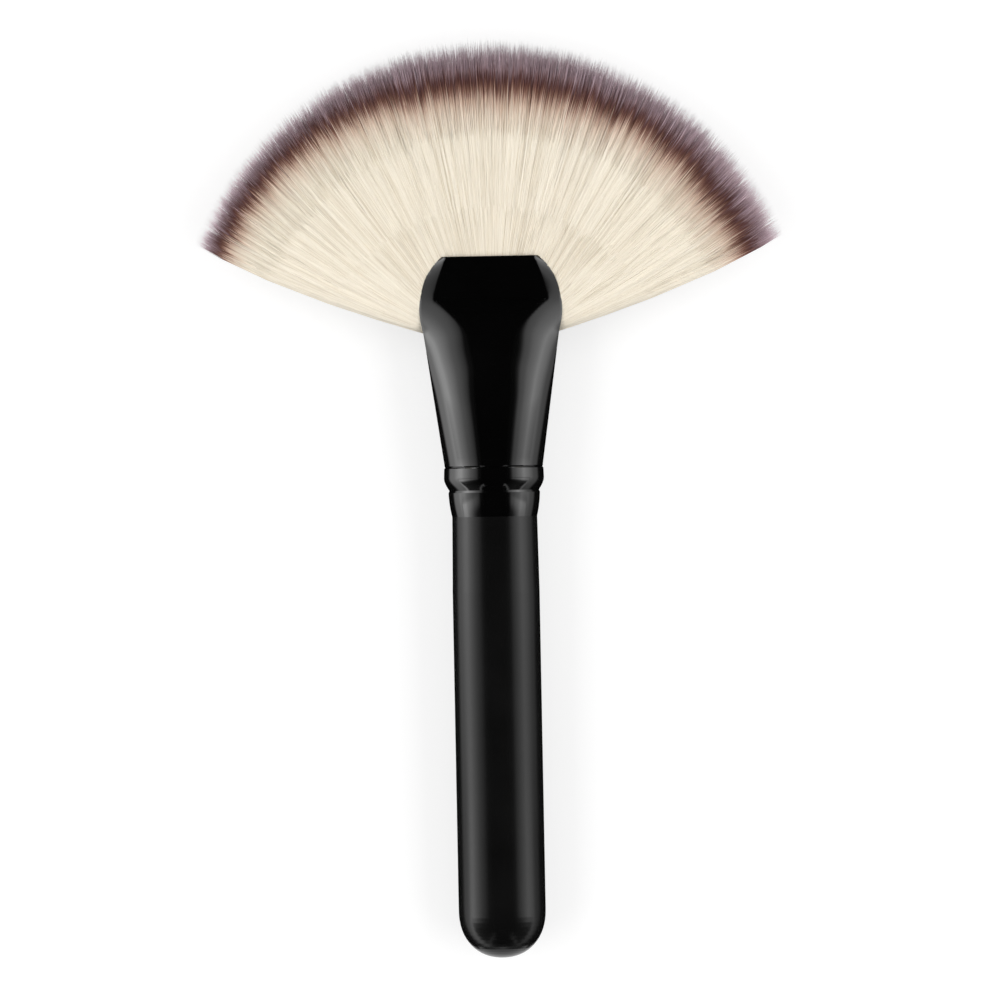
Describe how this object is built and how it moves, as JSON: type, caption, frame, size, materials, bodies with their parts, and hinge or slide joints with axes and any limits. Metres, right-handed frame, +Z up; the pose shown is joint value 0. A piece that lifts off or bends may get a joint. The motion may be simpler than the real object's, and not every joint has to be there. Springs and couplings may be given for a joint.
{
  "type": "face brush",
  "caption": "Large fan brush for the face: round wooden handle, black formed ferrule with a flattened fish mouth, wide flat fan of soft filaments with banded tips",
  "frame": {"origin": "on the surface that the brush lies on, under the middle of its bounding box", "axes": "+Y runs along the brush from the butt to the tips, +X across the fan, +Z up through its thickness"},
  "size_m": [0.1158, 0.1834, 0.02],
  "materials": {
    "handle_lacquer": "satin",
    "ferrule_gloss": "gloss",
    "resin": "satin",
    "filaments": "matte"
  },
  "bodies": {
    "root": {"handle": "handle_lacquer", "ferrule": "ferrule_gloss", "resin_plug": "resin", "bristles": "filaments"}
  },
  "joints": []
}
